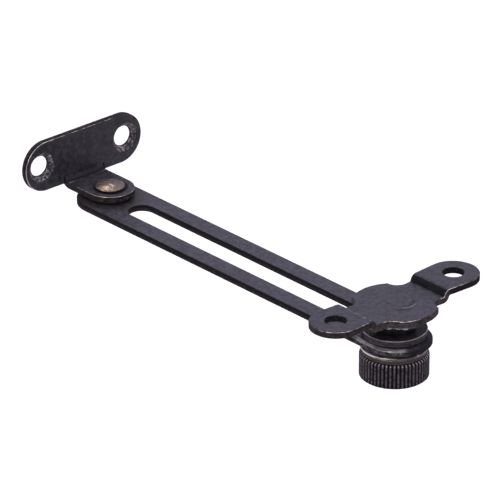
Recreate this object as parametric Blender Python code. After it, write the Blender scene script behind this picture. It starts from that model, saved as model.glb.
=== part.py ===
"""Casement window stay: a slotted arm clamped by a knurled nut to a frame plate, with a riveted sash bracket.

Everything is in metres. The origin is the centre of the sash bracket's mounting face, midway between its two
screw holes. +X runs along the arm from the sash bracket to the clamp stud, +Z points up, away from the nut.
"""

import math

import bmesh
import bpy
from mathutils import Vector

# Stock and clearances
SHEET = 0.0016
GAP = 0.0002
RUNNING = 0.0001

# Sash bracket
SASH_PLATE_LENGTH = 0.036
SASH_PLATE_HEIGHT = 0.0126
SASH_HOLE_SPACING = 0.026
SCREW_HOLE = 0.005
COUNTERSINK = 0.0076
TONGUE_WIDTH = 0.0118
TONGUE_TOP = -0.0058
BEND_INSIDE_RADIUS = 0.0012
BEND_RELIEF = 0.0003

# Slotted arm
ARM_WIDTH = 0.016
ARM_TOP = -0.0081
ARM_PIVOT_X = 0.011
ARM_END_X = 0.110
SLOT_WIDTH = 0.0065
SLOT_START_X = 0.0225

# Pivot rivet and its washer
RIVET_SHANK = 0.004
RIVET_HEAD = 0.0071
RIVET_HEAD_HEIGHT = 0.0011
RIVET_HEAD_RIM = 0.00025
RIVET_TAIL = 0.0062
RIVET_TAIL_TIP = 0.005
RIVET_TAIL_HEIGHT = 0.0007
PIVOT_WASHER = 0.0098
PIVOT_WASHER_THICKNESS = 0.0003

# Frame plate
CLAMP_X = 0.1091
FRAME_PLATE_TOP = ARM_TOP + 0.0078
DISC_RADIUS = 0.010
EAR_WIDTH = 0.0121
EAR_HOLE_SPACING = 0.0364
NOTCH_RADIUS = 0.00265
NOTCH_CENTRE_RADIUS = 0.0116
NOTCH_CENTRE_ANGLE = math.radians(45.5)
FAR_JOGGLE_START = 0.0098
NEAR_JOGGLE_START = 0.0108
JOGGLE_RISE = SHEET
JOGGLE_ANGLE = math.radians(68.0)
JOGGLE_RADIUS = 0.001

# Clamp stack
STUD_THREAD = 0.0059
STUD_CHAMFER = 0.0005
STUD_SHOULDER = 0.0095
STUD_SPIGOT = 0.005
STUD_TAIL = 0.0005
STUD_CROWN = 0.00015
WASHER_BORE = 0.0064
UPPER_WASHER = 0.015
UPPER_WASHER_THICKNESS = 0.0015
SPRING_WASHER = 0.0156
SPRING_WASHER_THICKNESS = 0.00045
SPRING_WASHER_RISE = 0.00075
LOWER_WASHER = 0.015
LOWER_WASHER_THICKNESS = 0.00095
NUT_DIAMETER = 0.016
NUT_HEIGHT = 0.006
NUT_RIDGES = 54
KNURL_DEPTH = 0.00028
NUT_CHAMFER = 0.0004
NUT_FACE_INSET = 0.0006

# Mesh resolution
ROUND_STEPS = 48
HOLE_STEPS = 32
ARC_STEPS = 12
BEND_STEPS = 6
JOGGLE_STEPS = 12

# Colours, as linear red, green and blue
BLACK_BRONZE = (0.055, 0.052, 0.06)
DARK_BRONZE = (0.04, 0.037, 0.038)
WORN_BRONZE = (0.30, 0.17, 0.11)
SPRING_STEEL = (0.28, 0.26, 0.24)
PLAIN_STEEL = (0.16, 0.155, 0.155)


def clear_scene():
    for item in list(bpy.data.objects):
        bpy.data.objects.remove(item)


def metal(name, colour, roughness, metallic):
    """A metal finish as a Principled BSDF."""
    material = bpy.data.materials.new(name)
    material.use_nodes = True
    shader = material.node_tree.nodes["Principled BSDF"]
    shader.inputs["Base Color"].default_value = (*colour, 1.0)
    shader.inputs["Roughness"].default_value = roughness
    shader.inputs["Metallic"].default_value = metallic
    return material


def add_object(name, bm, parent, material=None):
    """Turns a bmesh into a named object under its parent, shaded smooth but for its sharp edges."""
    bmesh.ops.remove_doubles(bm, verts=bm.verts, dist=1e-7)
    bmesh.ops.recalc_face_normals(bm, faces=bm.faces)
    mesh = bpy.data.meshes.new(name)
    bm.to_mesh(mesh)
    bm.free()
    mesh.shade_smooth()
    mesh.set_sharp_from_angle(angle=math.radians(30.0))
    if material:
        mesh.materials.append(material)
    item = bpy.data.objects.new(name, mesh)
    item.parent = parent
    bpy.context.scene.collection.objects.link(item)
    return item


def add_axis(name, x):
    """An empty standing on a vertical joint axis."""
    axis = bpy.data.objects.new(name, None)
    axis.location = (x, 0.0, 0.0)
    bpy.context.scene.collection.objects.link(axis)
    return axis


def cut(target, cutter):
    """Subtracts a hidden cutter from an object."""
    cutter.hide_render = True
    cutter.display_type = "WIRE"
    modifier = target.modifiers.new("cut_" + cutter.name, "BOOLEAN")
    modifier.operation = "DIFFERENCE"
    modifier.solver = "EXACT"
    modifier.object = cutter


def arc(centre, radius, start, end, steps=ARC_STEPS):
    """Points along an arc from one angle to another, in radians, both ends included."""
    points = []
    for step in range(steps + 1):
        angle = start + (end - start) * step / steps
        points.append((centre[0] + radius * math.cos(angle), centre[1] + radius * math.sin(angle)))
    return points


def stadium(first, last, width):
    """An outline with two parallel sides and two round ends centred on first and last along X."""
    half = width / 2
    last_end = arc((last, 0.0), half, -math.pi / 2, math.pi / 2)
    return last_end + arc((first, 0.0), half, math.pi / 2, 3 * math.pi / 2)


def prism(outline, low, high):
    """A bmesh standing on an outline in the XY plane, from low to high."""
    bm = bmesh.new()
    face = bm.faces.new([bm.verts.new((x, y, low)) for x, y in outline])
    grown = bmesh.ops.extrude_face_region(bm, geom=[face])
    top = [item for item in grown["geom"] if isinstance(item, bmesh.types.BMVert)]
    bmesh.ops.translate(bm, verts=top, vec=(0.0, 0.0, high - low))
    return bm


def lathe(profile, closed, steps=ROUND_STEPS):
    """A bmesh turned about Z from (radius, height) points; a closed profile leaves a bore."""
    bm = bmesh.new()
    verts = [bm.verts.new((radius, 0.0, height)) for radius, height in profile]
    edges = [bm.edges.new(pair) for pair in zip(verts, verts[1:])]
    if closed:
        edges.append(bm.edges.new((verts[-1], verts[0])))
    bmesh.ops.spin(
        bm,
        geom=verts + edges,
        axis=(0.0, 0.0, 1.0),
        angle=2 * math.pi,
        steps=steps,
        use_merge=True,
    )
    return bm


def ring(bore, outer, low, high):
    """A flat washer's profile."""
    return [(bore / 2, high), (outer / 2, high), (outer / 2, low), (bore / 2, low)]


def slice_across(bm, axis, places):
    """Cuts every face where it crosses the given places along one axis, so that the sheet can bend there."""
    normal = Vector((0.0, 0.0, 0.0))
    normal[axis] = 1.0
    for place in places:
        geometry = bm.verts[:] + bm.edges[:] + bm.faces[:]
        bmesh.ops.bisect_plane(bm, geom=geometry, dist=1e-7, plane_co=normal * place, plane_no=normal)


def hole_cutter(name, diameter, x, y, parent):
    """An upright cutter through a level sheet."""
    reach = 4 * SHEET
    profile = [(0.0, reach), (diameter / 2, reach), (diameter / 2, -reach), (0.0, -reach)]
    cutter = add_object(name, lathe(profile, False, HOLE_STEPS), parent)
    cutter.location = (x, y, 0.0)
    return cutter


# --- Sash bracket: a flat blank whose tongue is bent forward under the plate ---


def bracket_blank(tongue_start, tongue_end):
    """The flat blank: X across the plate, Y down from the plate's centre along the sheet."""
    half_height = SASH_PLATE_HEIGHT / 2
    half_span = SASH_PLATE_LENGTH / 2 - half_height
    half_tongue = TONGUE_WIDTH / 2
    slit = half_tongue + BEND_RELIEF
    outline = arc((-half_span, 0.0), half_height, math.pi / 2, 3 * math.pi / 2)
    outline += arc((half_span, 0.0), half_height, -math.pi / 2, math.pi / 2)
    outline += [(slit, half_height), (slit, tongue_start), (half_tongue, tongue_start)]
    outline += arc((0.0, tongue_end), half_tongue, 0.0, math.pi)
    outline += [(-half_tongue, tongue_start), (-slit, tongue_start), (-slit, half_height)]
    return outline


def bend_bracket(bm, bend_start):
    """Stands the blank up as the plate and turns its tongue through a right angle."""
    middle_radius = BEND_INSIDE_RADIUS + SHEET / 2
    bend_length = middle_radius * math.pi / 2
    half_tongue = TONGUE_WIDTH / 2 + 1e-6
    for vert in bm.verts:
        across, down, depth = vert.co
        run = down - bend_start
        if run <= 0.0 or abs(across) > half_tongue:
            vert.co = (SHEET / 2 + depth, across, -down)
            continue
        turn = min(run, bend_length) / middle_radius
        beyond = max(run - bend_length, 0.0)
        reach = middle_radius - depth
        x = SHEET / 2 + middle_radius - reach * math.cos(turn) + beyond
        z = -bend_start - reach * math.sin(turn)
        vert.co = (x, across, z)


def sash_bracket(parent, material):
    middle_radius = BEND_INSIDE_RADIUS + SHEET / 2
    bend_start = -TONGUE_TOP - BEND_INSIDE_RADIUS
    bend_length = middle_radius * math.pi / 2
    flat_start = SHEET / 2 + middle_radius
    tongue_end = bend_start + bend_length + ARM_PIVOT_X - flat_start
    bm = prism(bracket_blank(bend_start, tongue_end), -SHEET / 2, SHEET / 2)
    bmesh.ops.recalc_face_normals(bm, faces=bm.faces)
    slice_across(bm, 1, [bend_start + bend_length * step / BEND_STEPS for step in range(BEND_STEPS + 1)])
    bend_bracket(bm, bend_start)
    bmesh.ops.translate(bm, verts=bm.verts, vec=(-ARM_PIVOT_X, 0.0, 0.0))
    bracket = add_object("sash_bracket", bm, parent, material)
    for side in (-1, 1):
        cut(bracket, countersink_cutter(side, parent))
    pivot_hole = hole_cutter("pivot_hole_in_tongue", RIVET_SHANK + 2 * RUNNING, 0.0, 0.0, parent)
    pivot_hole.location.z = TONGUE_TOP
    cut(bracket, pivot_hole)


def countersink_cutter(side, parent):
    """A screw hole along X, countersunk from the plate's front face."""
    hole = SCREW_HOLE / 2
    head = COUNTERSINK / 2
    sink_floor = SHEET - (head - hole)
    profile = [(0.0, SHEET * 2), (head + SHEET, SHEET * 2), (hole, sink_floor), (hole, -SHEET), (0.0, -SHEET)]
    name = "screw_cutter_right" if side > 0 else "screw_cutter_left"
    cutter = add_object(name, lathe(profile, False, HOLE_STEPS), parent)
    cutter.rotation_euler = (0.0, math.pi / 2, 0.0)
    cutter.location = (-ARM_PIVOT_X, side * SASH_HOLE_SPACING / 2, 0.0)
    return cutter


# --- Arm and its pivot ---


def slotted_arm(parent, material):
    bm = prism(stadium(0.0, ARM_END_X - ARM_PIVOT_X, ARM_WIDTH), ARM_TOP - SHEET, ARM_TOP)
    arm = add_object("slotted_arm", bm, parent, material)
    slot = stadium(SLOT_START_X - ARM_PIVOT_X, ARM_END_X - ARM_PIVOT_X, SLOT_WIDTH)
    cut(arm, add_object("slot_cutter", prism(slot, ARM_TOP - 2 * SHEET, ARM_TOP + SHEET), parent))
    pivot_hole = hole_cutter("pivot_hole_in_arm", RIVET_SHANK + 2 * RUNNING, 0.0, 0.0, parent)
    pivot_hole.location.z = ARM_TOP
    cut(arm, pivot_hole)


def pivot_rivet(parent, material):
    """Domed head above the tongue, shank through tongue, washer and arm, peened tail below."""
    head_base = TONGUE_TOP + GAP
    head_radius = RIVET_HEAD / 2
    dome_height = RIVET_HEAD_HEIGHT - RIVET_HEAD_RIM
    dome_radius = (head_radius**2 + dome_height**2) / (2 * dome_height)
    dome_centre = head_base + RIVET_HEAD_HEIGHT - dome_radius
    dome_angle = math.asin(head_radius / dome_radius)
    dome = arc((0.0, dome_centre), dome_radius, math.pi / 2, math.pi / 2 - dome_angle, BEND_STEPS)
    tail_top = ARM_TOP - SHEET - GAP
    tail_low = tail_top - RIVET_TAIL_HEIGHT
    profile = dome + [
        (head_radius, head_base),
        (RIVET_SHANK / 2, head_base),
        (RIVET_SHANK / 2, tail_top),
        (RIVET_TAIL / 2, tail_top),
        (RIVET_TAIL_TIP / 2, tail_low),
        (0.0, tail_low),
    ]
    add_object("pivot_rivet", lathe(profile, False), parent, material)


def pivot_washer(parent, material):
    """A thin washer that lifts the tongue off the arm."""
    middle = (ARM_TOP + TONGUE_TOP - SHEET) / 2
    half = PIVOT_WASHER_THICKNESS / 2
    profile = ring(RIVET_SHANK + 2 * RUNNING, PIVOT_WASHER, middle - half, middle + half)
    add_object("pivot_washer", lathe(profile, True), parent, material)


# --- Frame plate: a disc with two ears, each stepped up through a joggle ---


def joggle_lengths():
    """The straight part of the joggle's ramp, its length along the sheet and its run along Y."""
    ramp = (JOGGLE_RISE - 2 * JOGGLE_RADIUS * (1 - math.cos(JOGGLE_ANGLE))) / math.sin(JOGGLE_ANGLE)
    along = 2 * JOGGLE_RADIUS * JOGGLE_ANGLE + ramp
    run = 2 * JOGGLE_RADIUS * math.sin(JOGGLE_ANGLE) + ramp * math.cos(JOGGLE_ANGLE)
    return ramp, along, run


def frame_quarter(ear_centre):
    """The blank's outline from the disc's side, round a notch and up a flank to the tip of the far ear."""
    notch_x = NOTCH_CENTRE_RADIUS * math.cos(NOTCH_CENTRE_ANGLE)
    notch_y = NOTCH_CENTRE_RADIUS * math.sin(NOTCH_CENTRE_ANGLE)
    half_ear = EAR_WIDTH / 2
    squares = DISC_RADIUS**2 + NOTCH_CENTRE_RADIUS**2 - NOTCH_RADIUS**2
    disc_end = NOTCH_CENTRE_ANGLE - math.acos(squares / (2 * DISC_RADIUS * NOTCH_CENTRE_RADIUS))
    corner = (DISC_RADIUS * math.cos(disc_end), DISC_RADIUS * math.sin(disc_end))
    notch_start = math.atan2(corner[1] - notch_y, corner[0] - notch_x)
    to_ear = math.atan2(ear_centre - notch_y, -notch_x)
    flank = to_ear - math.asin((NOTCH_RADIUS + half_ear) / math.hypot(notch_x, ear_centre - notch_y))
    points = arc((0.0, 0.0), DISC_RADIUS, 0.0, disc_end, ARC_STEPS // 2)
    points += arc((notch_x, notch_y), NOTCH_RADIUS, notch_start, flank - 3 * math.pi / 2, ARC_STEPS)[1:]
    points += arc((0.0, ear_centre), half_ear, flank - math.pi / 2, math.pi / 2)
    return points


def frame_blank(ear_centre):
    quarter = frame_quarter(ear_centre)
    far_right = quarter
    far_left = [(-x, y) for x, y in reversed(quarter[:-1])]
    near_left = [(-x, -y) for x, y in quarter[1:]]
    near_right = [(x, -y) for x, y in reversed(quarter[1:-1])]
    return far_right + far_left + near_left + near_right


def joggle_place(start, along, depth):
    """Where a point of the blank lies once the ear has been stepped up: (distance out, height)."""
    ramp, length, run = joggle_lengths()
    turn_length = JOGGLE_RADIUS * JOGGLE_ANGLE
    past = along - start
    if past <= 0.0:
        return along, depth
    if past >= length:
        return start + run + past - length, JOGGLE_RISE + depth
    first = min(past, turn_length) / JOGGLE_RADIUS
    second = max(past - turn_length - ramp, 0.0) / JOGGLE_RADIUS
    straight = min(max(past - turn_length, 0.0), ramp)
    tilt = first - second
    out = JOGGLE_RADIUS * (math.sin(first) + math.sin(JOGGLE_ANGLE) - math.sin(JOGGLE_ANGLE - second))
    up = JOGGLE_RADIUS * (1 - math.cos(first) + math.cos(JOGGLE_ANGLE - second) - math.cos(JOGGLE_ANGLE))
    out += straight * math.cos(JOGGLE_ANGLE)
    up += straight * math.sin(JOGGLE_ANGLE)
    return start + out - depth * math.sin(tilt), up + depth * math.cos(tilt)


def frame_plate(parent, material):
    length, run = joggle_lengths()[1:]
    ear_centre = EAR_HOLE_SPACING / 2 + length - run
    bm = prism(frame_blank(ear_centre), -SHEET / 2, SHEET / 2)
    bmesh.ops.recalc_face_normals(bm, faces=bm.faces)
    steps = [length * step / JOGGLE_STEPS for step in range(JOGGLE_STEPS + 1)]
    slice_across(bm, 1, [FAR_JOGGLE_START + step for step in steps])
    slice_across(bm, 1, [-NEAR_JOGGLE_START - step for step in steps])
    for vert in bm.verts:
        side = math.copysign(1.0, vert.co.y)
        start = FAR_JOGGLE_START if side > 0.0 else NEAR_JOGGLE_START
        out, up = joggle_place(start, side * vert.co.y, vert.co.z)
        vert.co.y = side * out
        vert.co.z = up + FRAME_PLATE_TOP - SHEET / 2
    plate = add_object("frame_plate", bm, parent, material)
    for name, y in (("ear_hole_near", -EAR_HOLE_SPACING / 2), ("ear_hole_far", EAR_HOLE_SPACING / 2)):
        cut(plate, hole_cutter(name, SCREW_HOLE, 0.0, y, parent))
    cut(plate, hole_cutter("stud_hole", STUD_SPIGOT + 2 * RUNNING, 0.0, 0.0, parent))


# --- Clamp stack, from the stud down to the thumb nut ---


def stack_heights():
    """The top of each loose piece on the stud, each resting on the one below with a small gap."""
    arm_bottom = ARM_TOP - SHEET
    spring_top = arm_bottom - GAP
    lower_top = spring_top - SPRING_WASHER_RISE - SPRING_WASHER_THICKNESS - GAP
    nut_top = lower_top - LOWER_WASHER_THICKNESS - GAP
    return spring_top, lower_top, nut_top


def clamp_stud(parent, material):
    """Spigot riveted into the disc, shoulder under it, then the threaded shank."""
    disc_bottom = FRAME_PLATE_TOP - SHEET
    shoulder_low = ARM_TOP + 2 * GAP + UPPER_WASHER_THICKNESS
    shank_low = stack_heights()[2] - NUT_HEIGHT - STUD_TAIL
    profile = [
        (0.0, FRAME_PLATE_TOP + STUD_CROWN),
        (STUD_SPIGOT / 2, FRAME_PLATE_TOP),
        (STUD_SPIGOT / 2, disc_bottom - GAP),
        (STUD_SHOULDER / 2, disc_bottom - GAP),
        (STUD_SHOULDER / 2, shoulder_low),
        (STUD_THREAD / 2, shoulder_low),
        (STUD_THREAD / 2, shank_low + STUD_CHAMFER),
        (STUD_THREAD / 2 - STUD_CHAMFER, shank_low),
        (0.0, shank_low),
    ]
    add_object("clamp_stud", lathe(profile, False), parent, material)


def upper_washer(parent, material):
    low = ARM_TOP + GAP
    profile = ring(WASHER_BORE, UPPER_WASHER, low, low + UPPER_WASHER_THICKNESS)
    add_object("upper_washer", lathe(profile, True), parent, material)


def spring_washer(parent, material):
    """A disc spring whose rim hangs lower than its bore."""
    top = stack_heights()[0]
    rim_top = top - SPRING_WASHER_RISE
    profile = [
        (WASHER_BORE / 2, top),
        (SPRING_WASHER / 2, rim_top),
        (SPRING_WASHER / 2, rim_top - SPRING_WASHER_THICKNESS),
        (WASHER_BORE / 2, top - SPRING_WASHER_THICKNESS),
    ]
    add_object("spring_washer", lathe(profile, True), parent, material)


def lower_washer(parent, material):
    top = stack_heights()[1]
    profile = ring(WASHER_BORE, LOWER_WASHER, top - LOWER_WASHER_THICKNESS, top)
    add_object("lower_washer", lathe(profile, True), parent, material)


def thumb_nut(parent, material):
    """A round nut with a straight knurl between two chamfers."""
    top = stack_heights()[2]
    low = top - NUT_HEIGHT
    bore = STUD_THREAD / 2 + RUNNING
    outer = NUT_DIAMETER / 2
    face = outer - NUT_FACE_INSET
    profile = [
        (bore, top, 0.0),
        (face, top, 0.0),
        (outer, top - NUT_CHAMFER, KNURL_DEPTH),
        (outer, low + NUT_CHAMFER, KNURL_DEPTH),
        (face, low, 0.0),
        (bore, low, 0.0),
    ]
    bm = bmesh.new()
    rings = [knurled_ring(bm, *point) for point in profile]
    for upper, lower in zip(rings, rings[1:] + rings[:1]):
        for step, vert in enumerate(upper):
            bm.faces.new((upper[step - 1], vert, lower[step], lower[step - 1]))
    add_object("thumb_nut", bm, parent, material)


def knurled_ring(bm, radius, height, depth):
    """A ring of vertices with one crest and one root for each ridge of the knurl."""
    verts = []
    for step in range(2 * NUT_RIDGES):
        reach = radius - depth * (step % 2)
        angle = math.pi * step / NUT_RIDGES
        verts.append(bm.verts.new((reach * math.cos(angle), reach * math.sin(angle), height)))
    return verts


def build():
    clear_scene()
    pivot_axis = add_axis("pivot_axis", ARM_PIVOT_X)
    clamp_axis = add_axis("clamp_axis", CLAMP_X)
    arm_black = metal("arm_black_bronze", BLACK_BRONZE, 0.45, 0.6)
    sash_bracket(pivot_axis, metal("bracket_black_bronze", DARK_BRONZE, 0.5, 0.6))
    pivot_rivet(pivot_axis, metal("rivet_worn_bronze", WORN_BRONZE, 0.35, 1.0))
    pivot_washer(pivot_axis, metal("pivot_washer_steel", DARK_BRONZE, 0.5, 0.8))
    slotted_arm(pivot_axis, arm_black)
    frame_plate(clamp_axis, metal("plate_black_bronze", BLACK_BRONZE, 0.45, 0.6))
    clamp_stud(clamp_axis, metal("stud_steel", PLAIN_STEEL, 0.4, 0.9))
    upper_washer(clamp_axis, metal("upper_washer_black", DARK_BRONZE, 0.45, 0.7))
    spring_washer(clamp_axis, metal("spring_steel", SPRING_STEEL, 0.35, 0.9))
    lower_washer(clamp_axis, metal("lower_washer_bronze", DARK_BRONZE, 0.45, 0.7))
    thumb_nut(clamp_axis, metal("nut_black_bronze", DARK_BRONZE, 0.4, 0.7))


build()
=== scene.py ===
"""Casement window stay: the finished surfaces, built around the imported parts.

Everything is in metres and in the parts' own frame: +X from the sash bracket to the clamp stud, +Z up.
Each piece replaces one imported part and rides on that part's body.
"""

import math

import bmesh
import bpy
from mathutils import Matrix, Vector, noise


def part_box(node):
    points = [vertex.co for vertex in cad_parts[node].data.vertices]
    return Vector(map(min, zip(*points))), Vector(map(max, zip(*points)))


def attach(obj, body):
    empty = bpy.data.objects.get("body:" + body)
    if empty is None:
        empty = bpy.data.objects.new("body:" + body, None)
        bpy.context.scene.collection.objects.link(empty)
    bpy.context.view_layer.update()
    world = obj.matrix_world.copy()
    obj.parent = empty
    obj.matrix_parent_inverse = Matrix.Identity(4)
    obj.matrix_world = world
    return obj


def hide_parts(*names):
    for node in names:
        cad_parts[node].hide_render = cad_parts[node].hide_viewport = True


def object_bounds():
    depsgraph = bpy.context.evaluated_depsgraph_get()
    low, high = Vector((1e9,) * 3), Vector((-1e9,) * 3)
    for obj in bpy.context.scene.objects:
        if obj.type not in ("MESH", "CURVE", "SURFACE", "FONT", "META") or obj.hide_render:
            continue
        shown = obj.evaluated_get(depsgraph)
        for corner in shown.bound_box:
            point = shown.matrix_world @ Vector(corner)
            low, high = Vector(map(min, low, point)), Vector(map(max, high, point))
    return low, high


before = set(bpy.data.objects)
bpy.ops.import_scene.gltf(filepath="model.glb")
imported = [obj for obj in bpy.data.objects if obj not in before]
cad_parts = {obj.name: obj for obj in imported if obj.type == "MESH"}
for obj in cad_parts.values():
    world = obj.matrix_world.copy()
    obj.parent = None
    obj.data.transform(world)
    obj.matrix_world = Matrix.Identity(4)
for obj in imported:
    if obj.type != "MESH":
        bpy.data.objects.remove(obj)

CAD_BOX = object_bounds()
MM = 0.001

# How finely shapes are divided
ROUND_STEPS = 96
HOLE_STEPS = 64
ROUNDING_STEPS = 5
CORNER_STEPS = 4
BEND_STEPS = 16
JOGGLE_STEPS = 28
RIDGE_STEPS = 12
ROWS_PER_PITCH = 20
MARK_RINGS = 64
OUTLINE_SPACING = 0.7 * MM
SHARP_ANGLE = math.radians(42.0)

# The flat ring beside each rounding, the gap between pieces that touch, and what counts as no distance
SUPPORT = 0.06 * MM
GAP = 0.2 * MM
SAME_PLACE = 1e-7

# Raggedness: the size of a sheared side's waves, how far they sway, and the size of the flecks of wear
WAVE_SIZE = 1.3 * MM
DRIFT_SHIFTS = (Vector((0.0, 0.0, 0.0)), Vector((31.4, 7.7, 2.9)), Vector((5.3, 57.9, 8.1)))
SHEAR_SWAY = 0.03 * MM
PLATE_SWAY = 0.06 * MM
EAR_HOLE_SWAY = 0.02 * MM
FLECK_SIZE = 0.5 * MM

# Sheet parts
SHEET = 1.6 * MM
SCREW_HOLE = 5.0 * MM
COUNTERSINK = 7.6 * MM
RIVET_HOLE = 4.2 * MM

# How far the sheared edges are rounded, at the top face and at the bottom face
BRACKET_EDGE = (0.2 * MM, 0.12 * MM)
ARM_EDGE = (0.26 * MM, 0.12 * MM)
SLOT_EDGE = (0.2 * MM, 0.1 * MM)
PLATE_EDGE = (0.24 * MM, 0.14 * MM)
EAR_HOLE_EDGE = (0.16 * MM, 0.1 * MM)
RIVET_HOLE_EDGE = (0.1 * MM, 0.1 * MM)

# Sash bracket
SASH_HOLE_SPACING = 26.0 * MM
TONGUE_WIDTH = 11.8 * MM
BEND_INSIDE_RADIUS = 1.2 * MM
BEND_RELIEF = 0.3 * MM
CONE_WEAR = 0.54
CONE_REACH = 0.6 * COUNTERSINK
TONGUE_LOW_WEAR = 0.36
TONGUE_FADE = 6.0 * MM
# The bend: painted shade over its arc, and painted highlight specks along the crease where it meets the
# tongue
CREASE_TURN = 1.42
CREASE_FLECK = 0.35 * MM
CREASE_HIGHLIGHT = 1.3
CREASE_DULL = 0.1
CREASE_REACH = 0.05 * MM

# Rings on the tongue about the rivet's hole: distance from its rounding and dip, in millimetres, and wear,
# whose negative values paint the shadow ring round the rivet's head
RIVET_SEAT_AND_SHADOW = ((2.6, 0.0, 0.0), (2.2, 0.03, 0.0), (1.9, 0.1, -0.8), (1.5, 0.12, -1.0), (1.0, 0.12, -1.0))

# Pivot rivet
RIVET_SLACK = 0.1 * MM
TAIL_RADIUS = 3.1 * MM
DOME_STEPS = 13
TAIL_STEPS = 8
# The rivet head's rubbed patch, also a painted highlight: its way, the way across it, its place and its size
WORN_HIGHLIGHT_WAY = Vector((0.742, -0.67, 0.0))
WORN_HIGHLIGHT_ACROSS = Vector((0.67, 0.742, 0.0))
WORN_HIGHLIGHT_PLACE = (2.6 * MM, -1.0 * MM)
WORN_HIGHLIGHT_SIZE = (1.5 * MM, 2.2 * MM)

# Slotted arm: the slot, and the bevel ground round the outer end, with a highlight painted along the bevel
SLOT_WIDTH = 6.5 * MM
SLOT_START = 11.5 * MM
BEVEL_START = 8.0 * MM
BEVEL_FULL = 5.0 * MM
BEVEL_WIDTH = 0.55 * MM
BEVEL_DROP = 0.5 * MM
BEVEL_RINGS = (1.0, 0.6, 0.32, 0.22, 0.06)
BEVEL_LIMIT = 1.1 * MM
BEVEL_PAINTED_BAND = 0.6 * MM
BEVEL_HIGHLIGHT_ANGLES = (2.0, 36.0)

# Frame plate. Angles about the disc are in degrees, and places on a step are shares of its length
DISC_RADIUS = 10.0 * MM
EAR_WIDTH = 12.1 * MM
EAR_HOLE_SPACING = 36.4 * MM
NOTCH_RADIUS = 2.65 * MM
NOTCH_CENTRE_RADIUS = 11.6 * MM
NOTCH_CENTRE_ANGLE = math.radians(45.5)
FAR_JOGGLE_START = 9.8 * MM
NEAR_JOGGLE_START = 10.8 * MM
JOGGLE_ANGLE = math.radians(68.0)
JOGGLE_RADIUS = 1.0 * MM
SPIGOT_HOLE = 5.2 * MM
SPIGOT_COVER = 0.25 * MM
BURR_LENGTH = 0.5 * MM
BURR_MIDDLE = -38.0
BURR_SPREAD = 32.0
BURR_WAVE = 1.1 * MM
DISC_REACH = 9.0 * MM
# The arc where the disc's front edge is rubbed and painted with a highlight
DISC_RUB_AND_HIGHLIGHT_ARC = (-62.0, -8.0)
# Where the far step's top is painted dark as shade, and where the near step's top is rubbed and painted as a
# highlight
FAR_STEP_SHADE = (0.08, 0.85)
NEAR_STEP_RUB_AND_HIGHLIGHT = (0.72, 0.98)

# The riveting tool's marks on the disc: curved vanes in a ring, a raised dot and a pit
MARKED_RADIUS = 6.4 * MM
MARK_DEPTH = 0.11 * MM
VANE_RING = 3.9 * MM
VANE_RING_WIDTH = 1.3 * MM
VANE_COUNT = 5.0
VANE_PITCH = 0.34 * MM
DOT_PLACE = (-1.3 * MM, -0.6 * MM)
DOT_SIZE = 0.6 * MM
PIT_PLACE = (-0.7 * MM, -1.5 * MM)
PIT_SIZE = 0.5 * MM

# Clamp stud and washers
THREAD_PITCH = 1.0 * MM
THREAD_CREST = 2.93 * MM
THREAD_ROOT = 2.42 * MM
THREAD_FLAT = 0.12
THREAD_FLANK = 0.68
THREAD_CLEARANCE = 0.08 * MM
THREAD_RUNOUT = 1.2 * MM
TIP_CHAMFER = 0.55 * MM
TIP_HEIGHT = 0.12 * MM
SPIGOT_RADIUS = 2.5 * MM
SPIGOT_DEPTH = 0.4 * MM
STUD_EDGE = 0.15 * MM
WASHER_BORE = 6.4 * MM
SPRING_BORE_RADIUS = 3.2 * MM
SPRING_THICKNESS = 0.45 * MM
SPRING_EDGE = 0.15 * MM
# The side of the spring washer on which a highlight is painted
SPRING_HIGHLIGHT_SIDE = math.radians(-105.0)

# Thumb nut
NUT_RIDGES = 54
KNURL_DEPTH = 0.42 * MM
NUT_FACE_MARGIN = 0.6 * MM
NUT_CHAMFER = 0.42 * MM
NUT_BORE_CHAMFER = 0.35 * MM
NUT_SIDE_ROWS = 6
NUT_SIDE_START = 0.09
NUT_FOOT = 1.1 * MM
CHAMFER_SHARES = (0.15, 0.3, 0.45, 0.6, 0.75, 0.9, 1.05, 1.3)

# Where a ridge of the knurl starts to be worn and where it is worn fully, as shares of its height
CREST = (1 / 2.2, 2 / 2.2)

# Gloss and colours of the finishes
PLATING_SPECULAR = 0.12
METAL_SPECULAR = 0.4
BLACK = (0.0, 0.0, 0.0)
# Near black, the colour that painted shade darkens the plating to
PAINTED_SHADE_COLOUR = (0.002, 0.0018, 0.0024)
STAIN = (0.017, 0.0125, 0.0125)
RIVET_STAIN = (0.017, 0.0125, 0.0115)
GREY_WEAR = (0.3, 0.265, 0.26)
BROWN_WEAR = (0.2, 0.15, 0.13)

# Studio
CAMERA_AZIMUTH = 47.9
CAMERA_ELEVATION = 25.83
CAMERA_DISTANCE = 1.1325
CAMERA_OFFSET = Vector((0.0, 0.98, 0.94)) * MM
CAMERA_LENS = 352.4
CAMERA_SENSOR = 36.0
FLOOR_DROP = 0.65
FLOOR_REACH = 30.0
FLOOR_COLOUR = (0.93, 0.91, 0.86, 1.0)
FLOOR_ROUGHNESS = 0.9
SKY_STRENGTH = 1.5
SKY_DARK = (0.1, 0.1, 0.13)
SKY_PALE = (0.82, 0.78, 1.0)

# The surround's colours from bottom to top, as (height on a sphere of radius 1, colour)
SKY_STOPS = (
    (-0.06, (0.6, 0.573, 0.645)),
    (-0.02, SKY_DARK),
    (0.05, SKY_DARK),
    (0.2, SKY_PALE),
    (0.55, SKY_PALE),
    (0.8, (0.5, 0.5, 0.54)),
)


def centre(node):
    low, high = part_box(node)
    return (low + high) / 2


# Where the pieces' own origins lie: the bracket's, and those on the rivet's axis and on the stud's axis
ORIGIN = Vector((0.0, 0.0, 0.0))
PIVOT = Vector((centre("pivot_rivet").x, 0.0, 0.0))
CLAMP = Vector((centre("thumb_nut").x, 0.0, 0.0))


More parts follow.
